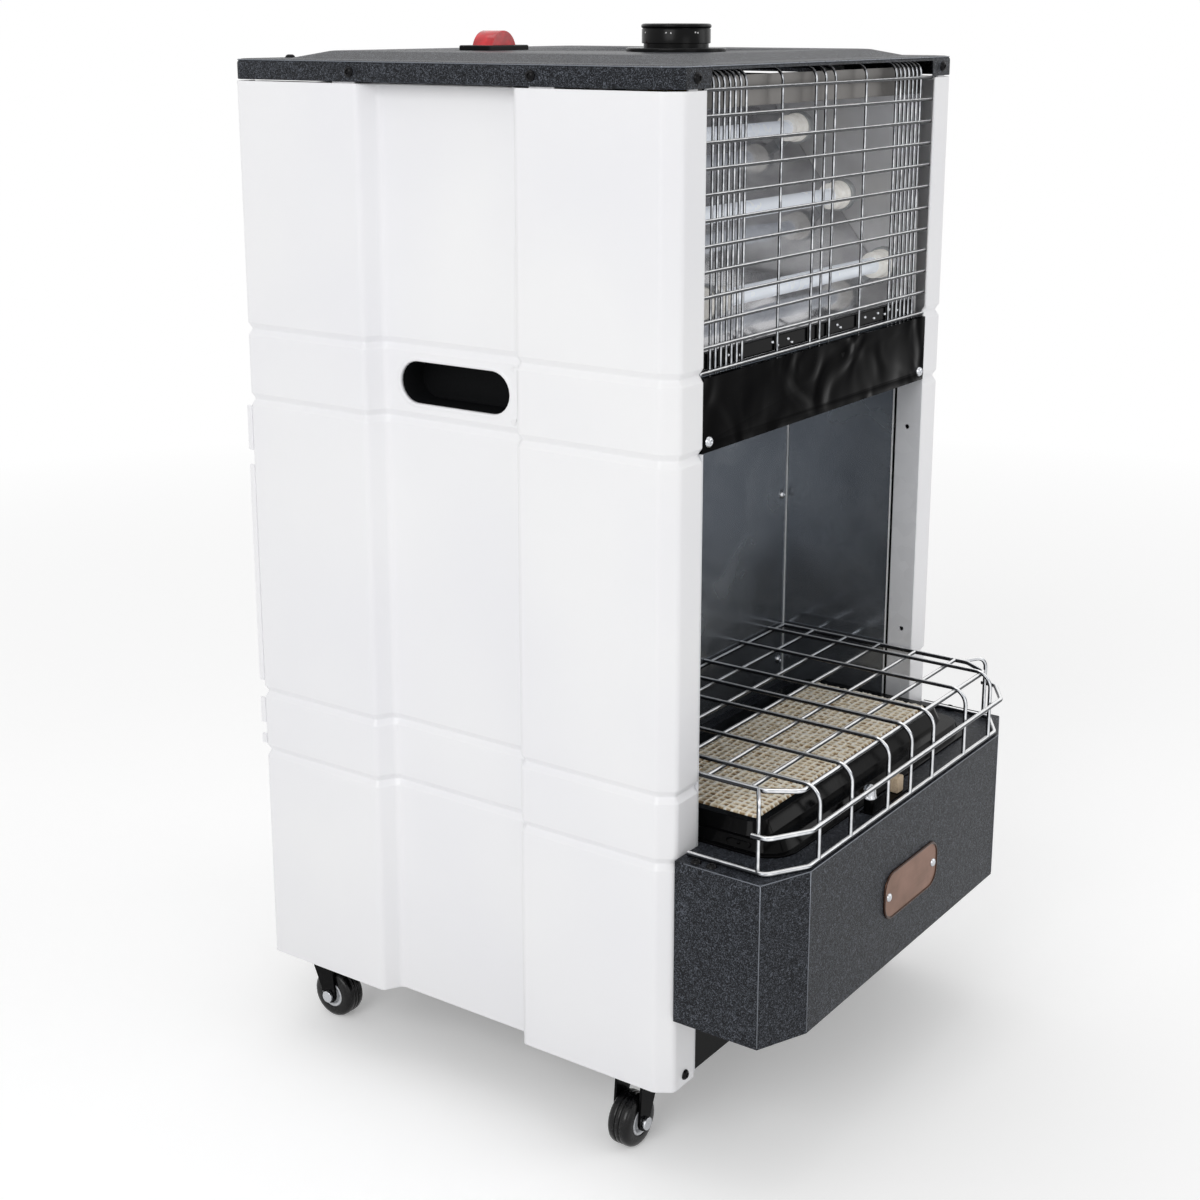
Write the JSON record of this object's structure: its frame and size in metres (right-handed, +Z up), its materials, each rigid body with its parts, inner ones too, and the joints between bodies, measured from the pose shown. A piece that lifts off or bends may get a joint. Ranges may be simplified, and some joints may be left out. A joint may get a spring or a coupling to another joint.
{
  "type": "portable gas cabinet heater",
  "caption": "Upright wheeled heater cabinet with pressed side panels, a caged quartz heater over an open hearth, a guarded ceramic gas burner in a front tray and swivel casters.",
  "frame": {"origin": "centre of the bounding box in plan, at floor level under the wheels", "axes": "+Z up; -Y to the front (grille, hearth and tray); +X to the viewer's right from the front"},
  "size_m": [0.3844, 0.4564, 0.7635],
  "materials": {
    "white_enamel": "semi-gloss white powder coat",
    "hammertone": "dark grey hammertone powder coat",
    "black_enamel": "gloss black enamel",
    "black_gloss": "high gloss black",
    "black_screw": "black oxide screw heads",
    "black_plastic": "moulded black plastic",
    "black_liner": "moulded black plastic, matt",
    "red_rocker": "translucent red plastic",
    "chrome_wire": "chrome plated wire",
    "bright_screw": "zinc bright screws",
    "mirror_steel": "polished reflector steel",
    "dark_steel": "polished cavity steel",
    "zinc_steel": "zinc plated steel",
    "quartz": "frosted quartz",
    "white_ceramic": "glazed white ceramic",
    "cream_ceramic": "perforated cream ceramic",
    "beige_ceramic": "beige steatite",
    "copper": "brushed copper",
    "brass": "machined brass",
    "element_wire": "resistance wire on its core",
    "tyre": "black moulded tread",
    "hub_grey": "light grey moulded hub"
  },
  "bodies": {
    "cabinet": {"side_panel_left": "white_enamel", "side_panel_right": "white_enamel", "handle_cups": "black_liner", "top_lid": "hammertone", "black_screws": "black_screw", "knob_escutcheon": "black_plastic", "gas_valve": "brass", "burner_gas_pipe": "zinc_steel", "gas_inlet_pipe": "brass", "switch_bezel": "black_plastic", "upper_grille": "chrome_wire", "reflector": "mirror_steel", "reflector_ends": "zinc_steel", "quartz_tubes": "quartz", "heating_elements": "element_wire", "tube_end_caps": "white_ceramic", "tube_clips": "zinc_steel", "heater_terminals": "copper", "front_fascia": "black_gloss", "chrome_screws": "bright_screw", "cavity_liner": "dark_steel", "cavity_side_walls": "dark_steel", "front_rails": "zinc_steel", "tray_shell": "hammertone", "tray_flange": "hammertone", "burner_housing": "black_enamel", "burner_plaques": "cream_ceramic", "burner_plenum": "zinc_steel", "pilot_burner": "zinc_steel", "spark_electrode": "beige_ceramic", "wire_guard": "chrome_wire", "nameplate": "copper", "nameplate_rivets": "bright_screw", "base_pan": "black_enamel", "rear_cover": "white_enamel", "door_hinges": "zinc_steel", "door_catch": "black_liner", "caster_plates": "zinc_steel"},
    "push_sleeve": {"valve_push_sleeve": "brass"},
    "knob": {"control_knob": "black_plastic", "valve_spindle": "brass"},
    "rocker": {"switch_rocker": "red_rocker"},
    "bottle_door": {"bottle_door": "white_enamel"},
    "caster_front_left": {"fork_front_left": "black_enamel", "axle_front_left": "bright_screw"},
    "wheel_front_left": {"tyre_front_left": "tyre", "hub_front_left": "hub_grey"},
    "caster_front_right": {"fork_front_right": "black_enamel", "axle_front_right": "bright_screw"},
    "wheel_front_right": {"tyre_front_right": "tyre", "hub_front_right": "hub_grey"},
    "caster_rear_left": {"fork_rear_left": "black_enamel", "axle_rear_left": "bright_screw"},
    "wheel_rear_left": {"tyre_rear_left": "tyre", "hub_rear_left": "hub_grey"},
    "caster_rear_right": {"fork_rear_right": "black_enamel", "axle_rear_right": "bright_screw"},
    "wheel_rear_right": {"tyre_rear_right": "tyre", "hub_rear_right": "hub_grey"}
  },
  "joints": [
    {"name": "knob_push", "type": "slide", "parent": "cabinet", "child": "push_sleeve", "axis": [0, 0, -1], "range_m": [0, 0.0025], "stiffness_N_per_m": 2000, "springref_m": -0.003},
    {"name": "knob_turn", "type": "hinge", "parent": "push_sleeve", "child": "knob", "pos_m": [-0.03, -0.03995, 0.7503], "axis": [0, 0, 1], "range_deg": [0, 240]},
    {"name": "switch_rock", "type": "hinge", "parent": "cabinet", "child": "rocker", "pos_m": [-0.0595, 0.09455, 0.7445], "axis": [0, 1, 0], "range_deg": [0, 20]},
    {"name": "door_swing", "type": "hinge", "parent": "cabinet", "child": "bottle_door", "pos_m": [0.175, 0.22505, 0.068], "axis": [0, 0, -1], "range_deg": [0, 105]},
    {"name": "swivel_front_left", "type": "hinge", "parent": "cabinet", "child": "caster_front_left", "pos_m": [-0.155, -0.09895, 0.0512], "axis": [0, 0, 1], "continuous": true},
    {"name": "roll_front_left", "type": "hinge", "parent": "caster_front_left", "child": "wheel_front_left", "pos_m": [-0.166, -0.09895, 0.019], "axis": [0, -1, 0], "continuous": true},
    {"name": "swivel_front_right", "type": "hinge", "parent": "cabinet", "child": "caster_front_right", "pos_m": [0.155, -0.09895, 0.0512], "axis": [0, 0, 1], "continuous": true},
    {"name": "roll_front_right", "type": "hinge", "parent": "caster_front_right", "child": "wheel_front_right", "pos_m": [0.16131, -0.10796, 0.019], "axis": [0.8192, 0.5736, 0], "continuous": true},
    {"name": "swivel_rear_left", "type": "hinge", "parent": "cabinet", "child": "caster_rear_left", "pos_m": [-0.15, 0.20305, 0.0512], "axis": [0, 0, 1], "continuous": true},
    {"name": "roll_rear_left", "type": "hinge", "parent": "caster_rear_left", "child": "wheel_rear_left", "pos_m": [-0.15, 0.19205, 0.019], "axis": [1, 0, 0], "continuous": true},
    {"name": "swivel_rear_right", "type": "hinge", "parent": "cabinet", "child": "caster_rear_right", "pos_m": [0.15, 0.20305, 0.0512], "axis": [0, 0, 1], "continuous": true},
    {"name": "roll_rear_right", "type": "hinge", "parent": "caster_rear_right", "child": "wheel_rear_right", "pos_m": [0.15, 0.19205, 0.019], "axis": [1, 0, 0], "continuous": true}
  ]
}
